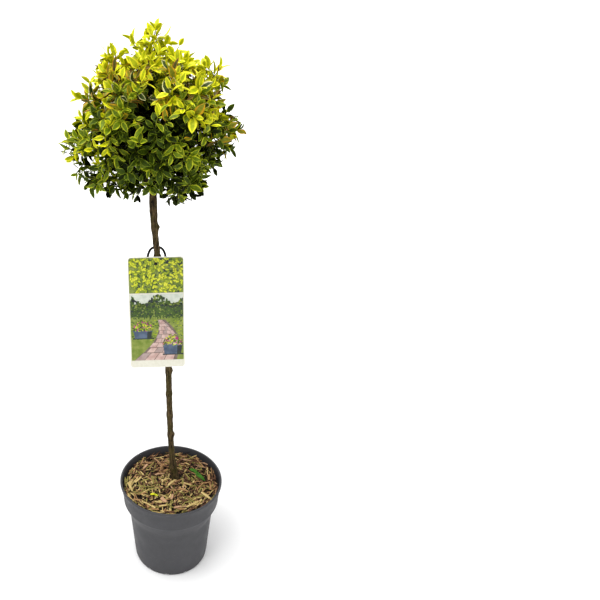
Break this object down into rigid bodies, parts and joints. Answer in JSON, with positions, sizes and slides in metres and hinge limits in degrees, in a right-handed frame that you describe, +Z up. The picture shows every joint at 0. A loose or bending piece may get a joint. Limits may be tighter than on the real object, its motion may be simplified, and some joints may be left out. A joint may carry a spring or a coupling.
{
  "type": "standard lollipop topiary",
  "caption": "Variegated evergreen shrub grown as a round leafy head on a tall clear stem, in a round plastic nursery pot topped with wood chips, with a picture label on the stem.",
  "frame": {"origin": "centre of the pot's flat underside", "axes": "+Z up along the pot's axis, -Y towards the front, where the label hangs"},
  "size_m": [0.2535, 0.2181, 0.9389],
  "materials": {
    "pot_plastic": "satin",
    "compost": "rough",
    "chips": "rough",
    "bark": "rough",
    "leaves": "leathery",
    "label_card": "printed",
    "strap": "satin"
  },
  "bodies": {
    "root": {"pot": "pot_plastic", "root_ball": "compost", "wood_chips": "chips", "trunk": "bark", "bough_top": "bark", "bough_upper_1": "bark", "bough_upper_2": "bark", "bough_upper_3": "bark", "bough_upper_4": "bark", "bough_middle_1": "bark", "bough_middle_2": "bark", "bough_middle_3": "bark", "bough_middle_4": "bark", "bough_middle_5": "bark", "bough_lower_1": "bark", "bough_lower_2": "bark", "bough_lower_3": "bark", "bough_lower_4": "bark", "foliage_top": "leaves", "foliage_upper_1": "leaves", "foliage_upper_2": "leaves", "foliage_upper_3": "leaves", "foliage_upper_4": "leaves", "foliage_middle_1": "leaves", "foliage_middle_2": "leaves", "foliage_middle_3": "leaves", "foliage_middle_4": "leaves", "foliage_middle_5": "leaves", "foliage_lower_1": "leaves", "foliage_lower_2": "leaves", "foliage_lower_3": "leaves", "foliage_lower_4": "leaves", "picture_label": "label_card", "label_strap": "strap"}
  },
  "joints": []
}
